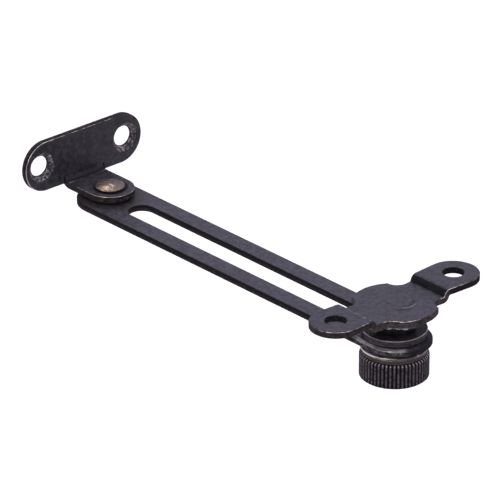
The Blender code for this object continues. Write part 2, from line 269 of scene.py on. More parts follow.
def fade(value, start, end):
    """From 0 at the start to 1 at the end, and held there beyond them."""
    return max(0.0, min(1.0, (value - start) / (end - start)))


# --- Outlines. The material lies on the left of the way that a loop runs ---


def arc(middle, radius, start, end, steps):
    """Points along an arc from one angle to another, both ends included."""
    points = []
    for step in range(steps + 1):
        angle = start + (end - start) * step / steps
        points.append(Vector((middle[0] + radius * math.cos(angle), middle[1] + radius * math.sin(angle))))
    return points


def hole(x, y, diameter):
    """A round hole's loop, clockwise."""
    return arc((x, y), diameter / 2, 0.0, -2 * math.pi, HOLE_STEPS)[:-1]


def stadium(first, last, width):
    """Two parallel sides and two round ends centred on first and last along X."""
    half = width / 2
    right = arc((last, 0.0), half, -math.pi / 2, math.pi / 2, HOLE_STEPS // 2)
    return right + arc((first, 0.0), half, math.pi / 2, 3 * math.pi / 2, HOLE_STEPS // 2)


def divide(loop):
    """The loop with points added wherever two of them lie further apart than the outline's spacing."""
    points = []
    for here, after in zip(loop, loop[1:] + loop[:1]):
        parts = max(1, math.ceil((after - here).length / OUTLINE_SPACING))
        points += [here.lerp(after, part / parts) for part in range(parts)]
    return points


def inset(loop, distance):
    """The loop moved into the material."""
    moved = []
    for before, here, after in zip(loop[-1:] + loop[:-1], loop, loop[1:] + loop[:1]):
        came = (here - before).normalized()
        goes = (after - here).normalized()
        left = Vector((-came.y - goes.y, came.x + goes.x))
        moved.append(here + left * distance / (1.0 + came.dot(goes)))
    return moved


# --- Mesh making ---


def new_mesh():
    """An empty bmesh with its two finish layers: wear_and_light, for rubbed places, painted shade and painted
    highlights, and cut, for sheared sides.
    """
    bm = bmesh.new()
    return bm, bm.verts.layers.float.new("wear_and_light"), bm.verts.layers.float.new("cut")


def drift(place):
    """Smooth noise along each axis, read at three distant places: noise_vector differs from run to run."""
    return Vector([noise.noise(place / WAVE_SIZE + shift) for shift in DRIFT_SHIFTS])


def round_ring(bm, radius, height, steps=HOLE_STEPS):
    ring = []
    for step in range(steps):
        angle = 2 * math.pi * step / steps
        ring.append(bm.verts.new((radius * math.cos(angle), radius * math.sin(angle), height)))
    return ring


def join_rings(bm, rings):
    for upper, lower in zip(rings, rings[1:]):
        for step, vert in enumerate(upper):
            bm.faces.new((upper[step - 1], vert, lower[step], lower[step - 1]))


def edge_profile(rounding, rub=1.0, painted_shade=0.0, lead=((SUPPORT, 0.0, 0.0),)):
    """A sheared edge from the top face to the bottom face, as (way into the sheet, height, wear_and_light,
    cut).

    The wear_and_light value runs from -1, where shade is painted dark, to 1, where the plating is rubbed
    through and where highlights are painted. The painted_shade argument darkens the top rounding and the side
    below it as painted shade. The lead gives the rings on the top face beside the edge as (distance from the
    rounding, dip, wear_and_light).
    """
    top_round, low_round = rounding
    half = SHEET / 2
    points = [(top_round + away, half - dip, wear_and_light, 0.0) for away, dip, wear_and_light in lead]
    for step in range(ROUNDING_STEPS + 1):
        share = step / ROUNDING_STEPS
        turn = share * math.pi / 2
        into = top_round * (1 - math.sin(turn))
        height = half - top_round * (1 - math.cos(turn))
        rubbed = rub * math.sin(math.pi * share**1.4) ** 2
        points.append((into, height, rubbed - painted_shade * share, share))
    points += [(0.0, 0.3 * half, -painted_shade, 1.0), (0.0, 0.0, 0.0, 1.0)]
    for step in range(ROUNDING_STEPS + 1):
        share = 1 - step / ROUNDING_STEPS
        turn = share * math.pi / 2
        into = low_round * (1 - math.sin(turn))
        height = -half + low_round * (1 - math.cos(turn))
        points.append((into, height, 0.5 * rub * math.sin(math.pi * share) ** 2, share))
    points.append((low_round + SUPPORT, -half, 0.0, 0.0))
    return points


def wall(bm, layers, loop, profile, sway=0.0):
    """Rings of vertices down an edge, joined by quads. Returns the top ring and the bottom ring."""
    wear_and_light_layer, cut_layer = layers
    rings = []
    for into, height, wear_and_light, cut in profile:
        ring = []
        for point in inset(loop, into):
            place = Vector((point.x, point.y, height))
            vert = bm.verts.new(place + drift(place) * sway * cut)
            vert[wear_and_light_layer] = wear_and_light * (1.0 + 0.8 * noise.noise(place / FLECK_SIZE))
            vert[cut_layer] = cut
            ring.append(vert)
        rings.append(ring)
    join_rings(bm, rings)
    return rings[0], rings[-1]


def cap(bm, rings):
    """Fills the flat face between rings."""
    edges = [bm.edges.get((ring[step - 1], ring[step])) for ring in rings for step in range(len(ring))]
    bmesh.ops.triangle_fill(bm, use_beauty=True, use_dissolve=False, edges=edges)


def sheet(walls):
    """A flat sheet standing between its walls, each given as (loop, profile, sway)."""
    bm, *layers = new_mesh()
    ends = [wall(bm, layers, *each) for each in walls]
    cap(bm, [top for top, bottom in ends])
    cap(bm, [bottom for top, bottom in ends])
    return bm, layers


def slice_across(bm, places):
    """Cuts every face where it crosses the given places along Y, so that the sheet can bend there."""
    normal = Vector((0.0, 1.0, 0.0))
    for place in places:
        geometry = bm.verts[:] + bm.edges[:] + bm.faces[:]
        bmesh.ops.bisect_plane(bm, geom=geometry, dist=SAME_PLACE, plane_co=normal * place, plane_no=normal)


def turned(profile, closed, sway=0.0):
    """A body turned about Z from (radius, height, wear, cut) points; a closed profile leaves a bore."""
    bm, wear_and_light_layer, cut_layer = new_mesh()
    rings = []
    for radius, height, wear_and_light, cut in profile:
        ring = []
        for step in range(ROUND_STEPS if radius > 0.0 else 1):
            angle = 2 * math.pi * step / ROUND_STEPS
            place = Vector((radius * math.cos(angle), radius * math.sin(angle), height))
            vert = bm.verts.new(place + drift(place) * sway * cut)
            vert[wear_and_light_layer] = wear_and_light
            vert[cut_layer] = cut
            ring.append(vert)
        rings.append(ring)
    for upper, lower in zip(rings, rings[1:] + rings[:1] if closed else rings[1:]):
        for step in range(ROUND_STEPS):
            corners = [upper[(step - 1) % len(upper)], upper[step % len(upper)]]
            corners += [lower[step % len(lower)], lower[(step - 1) % len(lower)]]
            bm.faces.new(list(dict.fromkeys(corners)))
    return bm


def rounded(corners):
    """A turned profile whose corners, given as (radius, height, rounding, cut), are rounded and worn."""
    points = []
    count = len(corners)
    for index, (radius, height, rounding, cut) in enumerate(corners):
        here = Vector((radius, height))
        before = Vector(corners[index - 1][:2])
        after = Vector(corners[(index + 1) % count][:2])
        start = here + (before - here).normalized() * rounding
        end = here + (after - here).normalized() * rounding
        outside = here + (before - here).normalized() * (rounding + SUPPORT)
        beyond = here + (after - here).normalized() * (rounding + SUPPORT)
        points.append((*outside, 0.0, cut))
        for step in range(CORNER_STEPS + 1):
            share = step / CORNER_STEPS
            bend = start.lerp(here, share).lerp(here.lerp(end, share), share)
            points.append((*bend, 0.3 + 0.7 * math.sin(math.pi * share), cut))
        points.append((*beyond, 0.0, cut))
    return points


def add_piece(name, bm, place, node, body, material):
    """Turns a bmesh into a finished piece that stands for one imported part."""
    bmesh.ops.recalc_face_normals(bm, faces=bm.faces)
    mesh = bpy.data.meshes.new(name)
    bm.to_mesh(mesh)
    bm.free()
    mesh.shade_smooth()
    mesh.set_sharp_from_angle(angle=SHARP_ANGLE)
    mesh.materials.append(material)
    piece = bpy.data.objects.new(name, mesh)
    piece.location = place
    bpy.context.scene.collection.objects.link(piece)
    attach(piece, body)
    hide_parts(node)


# --- Materials ---


class Finish:
    """A Principled material, built up one node at a time."""

    def __init__(self, name, specular):
        self.material = bpy.data.materials.new(name)
        self.material.use_nodes = True
        self.tree = self.material.node_tree
        self.shader = self.tree.nodes["Principled BSDF"]
        self.shader.inputs["Specular IOR Level"].default_value = specular
        self.place = self.node("ShaderNodeTexCoord").outputs["Object"]

    def node(self, kind, inputs=None, **settings):
        made = self.tree.nodes.new(kind)
        for name, value in settings.items():
            setattr(made, name, value)
        for socket, value in (inputs or {}).items():
            if isinstance(value, bpy.types.NodeSocket):
                self.tree.links.new(value, made.inputs[socket])
            else:
                made.inputs[socket].default_value = value
        return made

    def noise(self, size, detail=3.0, stretch=(1.0, 1.0, 1.0), distortion=0.0):
        """Cloudy noise whose blotches are about as large as size, in metres."""
        scale = [1 / (size * way) for way in stretch]
        scaled = self.node("ShaderNodeMapping", {"Vector": self.place, "Scale": scale})
        inputs = {"Vector": scaled.outputs["Vector"], "Scale": 1.0}
        inputs |= {"Detail": detail, "Distortion": distortion}
        return self.node("ShaderNodeTexNoise", inputs).outputs["Fac"]

    def specks(self, spacing, radius, share):
        """Small dots in that share of a Voronoi pattern's cells."""
        scaled = self.node("ShaderNodeVectorMath", {0: self.place, 3: 1 / spacing}, operation="SCALE")
        cells = self.node("ShaderNodeTexVoronoi", {"Vector": scaled.outputs["Vector"], "Scale": 1.0})
        near = self.ramp(cells.outputs["Distance"], radius / spacing, 0.4 * radius / spacing)
        chosen = self.ramp(cells.outputs["Color"], 1 - share, 1 - share + 0.02)
        return self.math("MULTIPLY", near, chosen)

    def grazing(self):
        """From 0 to 1 as a surface turns edge-on, where grime takes its gloss away."""
        facing = self.node("ShaderNodeLayerWeight").outputs["Facing"]
        return self.ramp(facing, 0.6, 0.9)

    def away(self, along):
        """Distance in plan from the point so far along the piece's own X axis."""
        flat = self.node("ShaderNodeVectorMath", {0: self.place, 1: (1.0, 1.0, 0.0)}, operation="MULTIPLY")
        inputs = {0: flat.outputs["Vector"], 1: (along, 0.0, 0.0)}
        return self.node("ShaderNodeVectorMath", inputs, operation="DISTANCE").outputs["Value"]

    def attribute(self, name):
        return self.node("ShaderNodeAttribute", attribute_name=name).outputs["Fac"]

    def math(self, operation, first, second):
        return self.node("ShaderNodeMath", {0: first, 1: second}, operation=operation).outputs["Value"]

    def ramp(self, value, low, high, bottom=0.0, top=1.0):
        """Moves smoothly from bottom to top as the value goes from low to high."""
        inputs = {"Value": value, "From Min": low, "From Max": high, "To Min": bottom, "To Max": top}
        return self.node("ShaderNodeMapRange", inputs, interpolation_type="SMOOTHSTEP").outputs["Result"]

    def mix(self, share, first, second):
        """Blends two colours, each a socket or (red, green, blue)."""
        inputs = {0: share}
        for socket, colour in ((6, first), (7, second)):
            inputs[socket] = colour if isinstance(colour, bpy.types.NodeSocket) else (*colour, 1.0)
        return self.node("ShaderNodeMix", inputs, data_type="RGBA").outputs[2]

    def link(self, socket, value):
        self.tree.links.new(value, self.shader.inputs[socket])

    def bump(self, height, distance):
        made = self.node("ShaderNodeBump", {"Height": height, "Distance": distance})
        self.link("Normal", made.outputs["Normal"])


def tinted(colour, factor):
    return [channel * factor for channel in colour]


def black_bronze(name, coat, side, worn, mottled=1.0, stained=False):
    """Blackened plating: cloudy, mottled and grained, streaky on a sheared side, rubbed through along edges,
    with shade and highlights painted from the wear_and_light layer.

    Coat is the plating's colour, side that of a sheared side, and worn that of the metal under the plating.
    Mottled is the strength of the mottling, and stained darkens the piece about its own axis.
    """
    finish = Finish(name, PLATING_SPECULAR)
    clouds = finish.noise(9 * MM, detail=3.0, distortion=0.6)
    mottle = finish.noise(1.1 * MM, detail=5.0)
    grain = finish.noise(0.22 * MM, detail=2.0)
    streaks = finish.noise(0.5 * MM, detail=5.0, stretch=(1.7, 1.7, 1.0), distortion=0.5)
    cut = finish.attribute("cut")
    wear_and_light = finish.attribute("wear_and_light")

    body = finish.mix(finish.ramp(clouds, 0.42, 0.68, 0.0, 0.5), coat, STAIN)
    body = finish.mix(finish.ramp(mottle, 0.38, 0.64, 0.35 * mottled, 0.0), body, BLACK)
    body = finish.mix(finish.ramp(mottle, 0.38, 0.64, 0.0, 0.8 * mottled), body, tinted(coat, 2.8))
    body = finish.mix(finish.ramp(grain, 0.4, 0.65, 0.0, 0.5), body, tinted(coat, 0.3))
    sheared = finish.mix(finish.ramp(streaks, 0.36, 0.62), tinted(side, 0.3), side)
    body = finish.mix(cut, body, sheared)
    if stained:
        body = finish.mix(finish.ramp(finish.away(0.0), 13 * MM, 6 * MM, 0.0, 0.6), body, RIVET_STAIN)
    # Painted shade: negative wear_and_light values darken the plating to near black and dull it
    painted_shade = finish.ramp(finish.math("MULTIPLY", wear_and_light, -1.0), 0.1, 0.9)
    body = finish.mix(painted_shade, body, PAINTED_SHADE_COLOUR)

    # Rubbed plating and painted highlights: high wear_and_light values show the bright metal
    blotches = finish.math("ADD", finish.math("MULTIPLY", mottle, 0.6), grain)
    ragged = finish.math("ADD", wear_and_light, finish.math("SUBTRACT", blotches, 0.8))
    dots = finish.math("MULTIPLY", finish.specks(2.8 * MM, 0.1 * MM, 0.1), 0.35)
    rubbed = finish.math("MAXIMUM", finish.ramp(ragged, 0.45, 1.05), dots)
    finish.link("Base Color", finish.mix(rubbed, body, worn))
    finish.link("Metallic", finish.math("MULTIPLY", rubbed, 0.7))

    rough = finish.ramp(mottle, 0.3, 0.75, 0.38, 0.5)
    rough = finish.math("ADD", rough, finish.math("MULTIPLY", painted_shade, 0.35))
    rough = finish.math("MAXIMUM", rough, finish.math("MULTIPLY", cut, 0.9))
    rough = finish.math("SUBTRACT", rough, finish.math("MULTIPLY", rubbed, 0.3))
    finish.link("Roughness", finish.math("MAXIMUM", rough, finish.grazing()))
    finish.bump(finish.math("ADD", finish.math("MULTIPLY", grain, 0.35), mottle), 0.05 * MM)
    return finish.material


def rubbed_highlit_bronze(name):
    """The rivet: bright warm bronze where it is rubbed and where its highlight is painted, streaky dark
    patina elsewhere.
    """
    finish = Finish(name, METAL_SPECULAR)
    patches = finish.noise(0.55 * MM, detail=6.0, stretch=(2.2, 1.0, 1.0), distortion=1.0)
    grain = finish.noise(0.25 * MM, detail=3.0)
    streaky = finish.math("MULTIPLY", finish.math("SUBTRACT", patches, 0.5), 4.0)
    bright = finish.math("ADD", finish.attribute("wear_and_light"), streaky)
    bright = finish.ramp(bright, 0.2, 1.15)
    patina = finish.mix(finish.ramp(grain, 0.35, 0.65), (0.018, 0.013, 0.012), (0.08, 0.056, 0.048))
    metal = finish.mix(finish.ramp(grain, 0.35, 0.65), (0.26, 0.175, 0.13), (0.48, 0.35, 0.27))
    finish.link("Base Color", finish.mix(bright, patina, metal))
    finish.link("Metallic", finish.ramp(bright, 0.0, 1.0, 0.35, 1.0))
    finish.link("Roughness", finish.ramp(patches, 0.3, 0.7, 0.38, 0.55))
    finish.bump(finish.math("ADD", grain, patches), 0.03 * MM)
    return finish.material


def bare_steel(name, dark, light, worn, roughness):
    """Turned steel: fine rings about the axis, darker in patches, lighter where it is rubbed and where a
    highlight is painted.
    """
    finish = Finish(name, METAL_SPECULAR)
    rings = finish.noise(0.12 * MM, detail=2.0, stretch=(60.0, 60.0, 1.0))
    patches = finish.noise(1.4 * MM, detail=4.0)
    body = finish.mix(finish.ramp(patches, 0.35, 0.65), dark, light)
    body = finish.mix(finish.ramp(rings, 0.45, 0.7, 0.0, 0.25), body, worn)
    blotches = finish.math("MULTIPLY", finish.math("SUBTRACT", patches, 0.5), 2.6)
    rubbed = finish.ramp(finish.math("ADD", finish.attribute("wear_and_light"), blotches), 0.3, 1.1)
    finish.link("Base Color", finish.mix(rubbed, body, worn))
    finish.link("Metallic", finish.ramp(rubbed, 0.0, 1.0, 0.6, 0.95))
    rough = finish.ramp(patches, 0.3, 0.7, roughness - 0.06, roughness + 0.08)
    finish.link("Roughness", finish.math("MAXIMUM", rough, finish.grazing()))
    finish.bump(rings, 0.008 * MM)
    return finish.material


# --- Sash bracket ---


def bracket_outline(half_height, half_length, tongue_start, tongue_end):
    """The flat blank: X across the plate, Y down from its centre along the sheet."""
    half_span = half_length - half_height
    half_tongue = TONGUE_WIDTH / 2
    slit = half_tongue + BEND_RELIEF
    outline = arc((-half_span, 0.0), half_height, math.pi / 2, 3 * math.pi / 2, HOLE_STEPS // 2)
    outline += arc((half_span, 0.0), half_height, -math.pi / 2, math.pi / 2, HOLE_STEPS // 2)
    relief = ((slit, half_height), (slit, tongue_start), (half_tongue, tongue_start))
    outline += [Vector(point) for point in relief]
    outline += arc((0.0, tongue_end), half_tongue, 0.0, math.pi, HOLE_STEPS // 2)
    outline += [Vector((-across, down)) for across, down in reversed(relief)]
    return divide(outline)


def countersink_profile():
    """A screw hole's wall: a cone from the front face, then a short straight bore."""
    half = SHEET / 2
    reach = (COUNTERSINK - SCREW_HOLE) / 2
    profile = [(reach + 3 * SUPPORT, half, 0.0, 0.0), (reach + SUPPORT, half, 0.0, 0.0)]
    profile.append((reach, half - 0.3 * SUPPORT, 0.3, 0.0))
    for step in range(1, ROUNDING_STEPS):
        share = step / ROUNDING_STEPS
        profile.append((reach * (1 - share), half - reach * share, CONE_WEAR, 0.0))
    profile.append((0.3 * SUPPORT, half - reach + 0.3 * SUPPORT, 0.3, 0.8))
    # The straight bore is painted dark as shade
    profile += [(0.0, half - reach - SUPPORT, -0.3, 1.0), (0.0, -half + SUPPORT, -0.3, 1.0)]
    profile += [(SUPPORT, -half, 0.0, 0.0), (3 * SUPPORT, -half, 0.0, 0.0)]
    return profile


def bracket_walls(outline, tongue_end):
    """The blank's walls: its outline, the two countersunk screw holes and the rivet's hole."""
    # The outline's top rounding is painted dark as shade
    walls = [(outline, edge_profile(BRACKET_EDGE, rub=1.8, painted_shade=0.8), SHEAR_SWAY)]
    for side in (-1, 1):
        walls.append((hole(side * SASH_HOLE_SPACING / 2, 0.0, SCREW_HOLE), countersink_profile(), 0.0))
    # The seat's rings paint the shadow ring round the rivet's head
    seat_and_shadow = [(away * MM, dip * MM, wear_and_light) for away, dip, wear_and_light in RIVET_SEAT_AND_SHADOW]
    rivet_profile = edge_profile(RIVET_HOLE_EDGE, rub=0.0, painted_shade=0.5, lead=seat_and_shadow)
    walls.append((hole(0.0, tongue_end, RIVET_HOLE), rivet_profile, 0.0))
    return walls


def bracket_edge_rub_and_highlight(across, up):
    """How far the bracket's edge is rubbed and painted as a highlight: most at its near end, less along the
    top.
    """
    near = 1.25 * fade(-across, 5 * MM, 12 * MM)
    top = fade(up, 0.0, 3 * MM) * fade(across, 14 * MM, 8 * MM)
    return max(near, 0.62 * top)


def make_sash_bracket():
    """The upright plate, and the tongue bent forward from its lower edge."""
    low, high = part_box("sash_bracket")
    tongue_top = low.z + SHEET
    bend_start = -tongue_top - BEND_INSIDE_RADIUS
    middle_radius = BEND_INSIDE_RADIUS + SHEET / 2
    bend_length = middle_radius * math.pi / 2
    tongue_end = bend_start + bend_length + PIVOT.x - SHEET / 2 - middle_radius
    outline = bracket_outline(high.z, high.y, bend_start, tongue_end)
    bm, (wear_and_light_layer, cut_layer) = sheet(bracket_walls(outline, tongue_end))
    slice_across(bm, [bend_start + bend_length * step / BEND_STEPS for step in range(-1, BEND_STEPS + 3)])
    half_tongue = (TONGUE_WIDTH + BEND_RELIEF) / 2
    for vert in bm.verts:
        across, down, depth = vert.co
        run = down - bend_start
        if run <= 0.0 or abs(across) > half_tongue:
            vert.co = (SHEET / 2 + depth, across, -down)
            from_hole = math.hypot(abs(across) - SASH_HOLE_SPACING / 2, down)
            if vert[cut_layer] > 0.0 and vert[wear_and_light_layer] > 0.0 and from_hole > CONE_REACH:
                vert[wear_and_light_layer] *= bracket_edge_rub_and_highlight(across, -down)
            continue
        turn = min(run, bend_length) / middle_radius
        reach = middle_radius - depth
        forward = SHEET / 2 + middle_radius - reach * math.cos(turn) + max(run - bend_length, 0.0)
        vert.co = (forward, across, -bend_start - reach * math.sin(turn))
        if vert[cut_layer] > 0.0:
            kept = 0.25 + 0.5 * fade(run, bend_length, bend_length + TONGUE_FADE)
            vert[wear_and_light_layer] = vert[wear_and_light_layer] * kept if depth > 0.3 * MM else TONGUE_LOW_WEAR
        # Paints the bend dark as shade, which hides its reflection, and paints highlight specks along the
        # crease
        if depth > 0.0 and vert[cut_layer] < 0.5 and run < bend_length + CREASE_REACH:
            crease = CREASE_HIGHLIGHT if noise.noise(vert.co / CREASE_FLECK) > 0.1 else CREASE_DULL
            vert[wear_and_light_layer] = crease if turn > CREASE_TURN else -0.8 * math.sin(turn)
            vert[cut_layer] = 0.0
    return bm


# --- Arm and its pivot ---


def make_arm():
    """The slotted strip, flat apart from the bevel round its outer end."""
    low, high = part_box("slotted_arm")
    half_width = high.y
    last = high.x - half_width - PIVOT.x
    lead = [(away * MM, 0.0, 0.0) for away in BEVEL_RINGS]
    strip = divide(stadium(0.0, last, 2 * half_width))
    slot = divide(stadium(SLOT_START, last, SLOT_WIDTH))[::-1]
    # The strip's and the slot's top roundings are painted dark as shade
    walls = [(strip, edge_profile(ARM_EDGE, rub=0.0, painted_shade=1.0, lead=lead), SHEAR_SWAY)]
    walls.append((slot, edge_profile(SLOT_EDGE, rub=0.0, painted_shade=1.0), SHEAR_SWAY))
    walls.append((hole(0.0, 0.0, RIVET_HOLE), edge_profile(RIVET_HOLE_EDGE, rub=0.0, painted_shade=0.5), 0.0))
    bm, layers = sheet(walls)
    bevel_end(bm, layers, last, half_width)
    bmesh.ops.translate(bm, verts=bm.verts, vec=(0.0, 0.0, (low.z + high.z) / 2))
    return bm


def bevel_end(bm, layers, last, half_width):
    """Grinds the bevel round the arm's outer end and paints a highlight along it on its front side, towards
    the camera, with painted shade away from it.
    """
    wear_and_light_layer, cut_layer = layers
    for vert in bm.verts:
        beyond = fade(vert.co.x, last - BEVEL_START, last - BEVEL_FULL)
        from_edge = half_width - math.hypot(max(vert.co.x - last, 0.0), vert.co.y)
        if beyond == 0.0 or from_edge > BEVEL_LIMIT:
            continue
        facing = fade(-math.degrees(math.atan2(vert.co.y, vert.co.x - last)), *BEVEL_HIGHLIGHT_ANGLES)
        if vert.co.z > 0.0:
            bevel = max(0.0, 1.0 - max(0.0, from_edge) / BEVEL_WIDTH)
            vert.co.z -= BEVEL_DROP * beyond * bevel * vert.co.z / (SHEET / 2)
        # Painted highlight along the bevel's top on the front side, and painted shade on the other side
        if vert.co.z > 0.0 and vert[cut_layer] < 1.0 and from_edge < BEVEL_PAINTED_BAND:
            vert[wear_and_light_layer] = beyond * (1.45 * facing - 0.6)
        else:
            vert[wear_and_light_layer] += beyond * (0.55 * facing - vert[wear_and_light_layer])


def make_rivet():
    """Domed head, shank and peened tail; the head's middle is rubbed bright and painted with a highlight
    towards one side.
    """
    low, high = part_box("pivot_rivet")
    head = (high.x - low.x) / 2
    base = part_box("sash_bracket")[0].z + SHEET + GAP
    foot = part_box("slotted_arm")[0].z - GAP
    dome = high.z - base
    shank = RIVET_HOLE / 2 - RIVET_SLACK
    profile = [(0.0, high.z, 0.0, 0.0)]
    for step in range(1, DOME_STEPS):
        radius = head * math.sin(step / DOME_STEPS * math.pi / 2)
        profile.append((radius, base + dome * (0.18 + 0.82 * (1 - (radius / head) ** 2) ** 0.8), 0.0, 0.0))
    profile += [(head, base + 0.14 * dome, 0.0, 0.5), (head - 0.05 * MM, base, 0.0, 1.0)]
    profile += [(shank + RIVET_SLACK, base, 0.0, 1.0), (shank, base - RIVET_SLACK, 0.0, 1.0)]
    profile += [(shank, foot, 0.0, 1.0), (TAIL_RADIUS, foot, 0.0, 1.0)]
    tail_top = foot - 0.05 * MM
    for step in range(TAIL_STEPS):
        turn = step / TAIL_STEPS * math.pi / 2
        height = tail_top - (tail_top - low.z) * math.sin(turn)
        profile.append((TAIL_RADIUS * math.cos(turn), height, 0.3 + 0.2 * step / TAIL_STEPS, 0.0))
    profile.append((0.0, low.z, 0.5, 0.0))
    bm = turned(profile, False)
    wear_and_light_layer = bm.verts.layers.float["wear_and_light"]
    for vert in bm.verts:
        # The rubbed patch, also painted as the dome's highlight
        if vert.co.z > base + 0.1 * dome:
            front = (vert.co.dot(WORN_HIGHLIGHT_WAY) - WORN_HIGHLIGHT_PLACE[0]) / WORN_HIGHLIGHT_SIZE[0]
            across = (vert.co.dot(WORN_HIGHLIGHT_ACROSS) - WORN_HIGHLIGHT_PLACE[1]) / WORN_HIGHLIGHT_SIZE[1]
            vert[wear_and_light_layer] = 1.15 * math.exp(-(front**2) - across**2) - 0.15
    return bm


def make_flat_washer(node, bore, rounding, sway=0.0):
    """A flat ring with rounded corners."""
    low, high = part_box(node)
    outer = (high.x - low.x) / 2
    inner = bore / 2
    corners = [(inner, high.z, rounding / 2, 0.0), (outer, high.z, rounding, 0.6)]
    corners += [(outer, low.z, rounding, 0.6), (inner, low.z, rounding / 2, 0.0)]
    return turned(rounded(corners), True, sway)


def make_spring_washer():
    """A dished disc spring, high at its bore and low at its rim, with a highlight painted on one side."""
    low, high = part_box("spring_washer")
    outer = (high.x - low.x) / 2
    corners = [
        (SPRING_BORE_RADIUS, high.z, SPRING_EDGE, 0.0),
        (outer, low.z + SPRING_THICKNESS, SPRING_EDGE, 0.3),
        (outer, low.z, SPRING_EDGE, 0.3),
        (SPRING_BORE_RADIUS, high.z - SPRING_THICKNESS, SPRING_EDGE, 0.0),
    ]
    bm = turned(rounded(corners), True)
    wear_and_light_layer = bm.verts.layers.float["wear_and_light"]
    for vert in bm.verts:
        turn = math.atan2(vert.co.y, vert.co.x) - SPRING_HIGHLIGHT_SIDE
        # A highlight painted on one side
        vert[wear_and_light_layer] = 1.2 * max(0.0, math.cos(turn)) ** 3 + 0.3 * vert[wear_and_light_layer]
    return bm


# --- Frame plate ---


def blob(x, y, middle, size):
    """1 at the middle, fading out over the size."""
    return math.exp(-(((x - middle[0]) ** 2 + (y - middle[1]) ** 2) / size**2))


def tool_marks(x, y):
    """The riveting tool's curved marks on the disc: about -1 in a groove's bottom and 1 on a ridge."""
    radius = math.hypot(x, y)
    angle = math.atan2(y, x)
    ring = math.exp(-(((radius - VANE_RING) / VANE_RING_WIDTH) ** 4))
    vanes = math.sin(VANE_COUNT * angle - radius / VANE_PITCH)
    side = 0.25 + 0.75 * max(0.0, math.cos(0.8 * (angle - 0.25)))
    return ring * vanes * side + 1.2 * blob(x, y, DOT_PLACE, DOT_SIZE) - blob(x, y, PIT_PLACE, PIT_SIZE)


def joggle_lengths():
    """The straight part of the joggle's ramp, its length along the sheet and its run along Y."""
    ramp = (SHEET - 2 * JOGGLE_RADIUS * (1 - math.cos(JOGGLE_ANGLE))) / math.sin(JOGGLE_ANGLE)
    along = 2 * JOGGLE_RADIUS * JOGGLE_ANGLE + ramp
    run = 2 * JOGGLE_RADIUS * math.sin(JOGGLE_ANGLE) + ramp * math.cos(JOGGLE_ANGLE)
    return ramp, along, run


def joggle_place(start, along, depth):
    """Where a point of the blank lies once the ear has been stepped up: (distance out, height)."""
    ramp, length, run = joggle_lengths()
    turn_length = JOGGLE_RADIUS * JOGGLE_ANGLE
    past = along - start
    if past <= 0.0:
        return along, depth
    if past >= length:
        return start + run + past - length, SHEET + depth
    first = min(past, turn_length) / JOGGLE_RADIUS
    second = max(past - turn_length - ramp, 0.0) / JOGGLE_RADIUS
    straight = min(max(past - turn_length, 0.0), ramp)
    tilt = first - second
    out = JOGGLE_RADIUS * (math.sin(first) + math.sin(JOGGLE_ANGLE) - math.sin(JOGGLE_ANGLE - second))
    up = JOGGLE_RADIUS * (1 - math.cos(first) + math.cos(JOGGLE_ANGLE - second) - math.cos(JOGGLE_ANGLE))
    out += straight * math.cos(JOGGLE_ANGLE)
    up += straight * math.sin(JOGGLE_ANGLE)
    return start + out - depth * math.sin(tilt), up + depth * math.cos(tilt)


def frame_outline(ear_centre):
    """The blank's outline: a disc, four notches and two round-ended ears whose flanks widen outwards."""
    notch = Vector((math.cos(NOTCH_CENTRE_ANGLE), math.sin(NOTCH_CENTRE_ANGLE))) * NOTCH_CENTRE_RADIUS
    half_ear = EAR_WIDTH / 2
    squares = DISC_RADIUS**2 + NOTCH_CENTRE_RADIUS**2 - NOTCH_RADIUS**2
    disc_end = NOTCH_CENTRE_ANGLE - math.acos(squares / (2 * DISC_RADIUS * NOTCH_CENTRE_RADIUS))
    corner = Vector((math.cos(disc_end), math.sin(disc_end))) * DISC_RADIUS - notch
    notch_start = math.atan2(corner.y, corner.x)
    to_ear = Vector((0.0, ear_centre)) - notch
    flank = math.atan2(to_ear.y, to_ear.x) - math.asin((NOTCH_RADIUS + half_ear) / to_ear.length)
    quarter = arc((0.0, 0.0), DISC_RADIUS, 0.0, disc_end, HOLE_STEPS // 4)
    quarter += arc(notch, NOTCH_RADIUS, notch_start, flank - 3 * math.pi / 2, HOLE_STEPS // 4)[1:]
    quarter += arc((0.0, ear_centre), half_ear, flank - math.pi / 2, math.pi / 2, HOLE_STEPS // 4)
    far_left = [Vector((-point.x, point.y)) for point in reversed(quarter[:-1])]
    near_left = [Vector((-point.x, -point.y)) for point in quarter[1:]]
    near_right = []
    for point in reversed(quarter[1:-1]):
        half_depth = (1 + DISC_RADIUS / point.length) / 2
        shallow = point * half_depth if point.length < DISC_RADIUS else point
        near_right.append(Vector((shallow.x, -shallow.y)))
    return divide(quarter + far_left + near_left + near_right)


def plate_rub_and_highlight(x, y):
    """How far the plate's top edge is rubbed and painted as a highlight: along its front, and most beside the
    far ear's step.
    """
    front = fade(x, -2 * MM, 3 * MM)
    if abs(y) < DISC_REACH:
        angle = math.degrees(math.atan2(y, x))
        return front * (1.0 if DISC_RUB_AND_HIGHLIGHT_ARC[0] < angle < DISC_RUB_AND_HIGHLIGHT_ARC[1] else 0.25)
    if y > 0.0:
        return front * max(0.45, 1.6 - 0.1 * (y / MM - 10.0))
    return 0.95 * front * (1.0 if y < -14.5 * MM else 0.2)


def front_burr(x, y):
    """How far the sheared edge hangs down along the disc's front."""
    angle = math.degrees(math.atan2(y, x))
    share = max(0.0, 1.0 - abs(angle - BURR_MIDDLE) / BURR_SPREAD)
    ragged = 0.8 + 0.5 * noise.noise(Vector((x, y, 0.0)) / BURR_WAVE)
    return BURR_LENGTH * min(1.0, 2.0 * share) * ragged


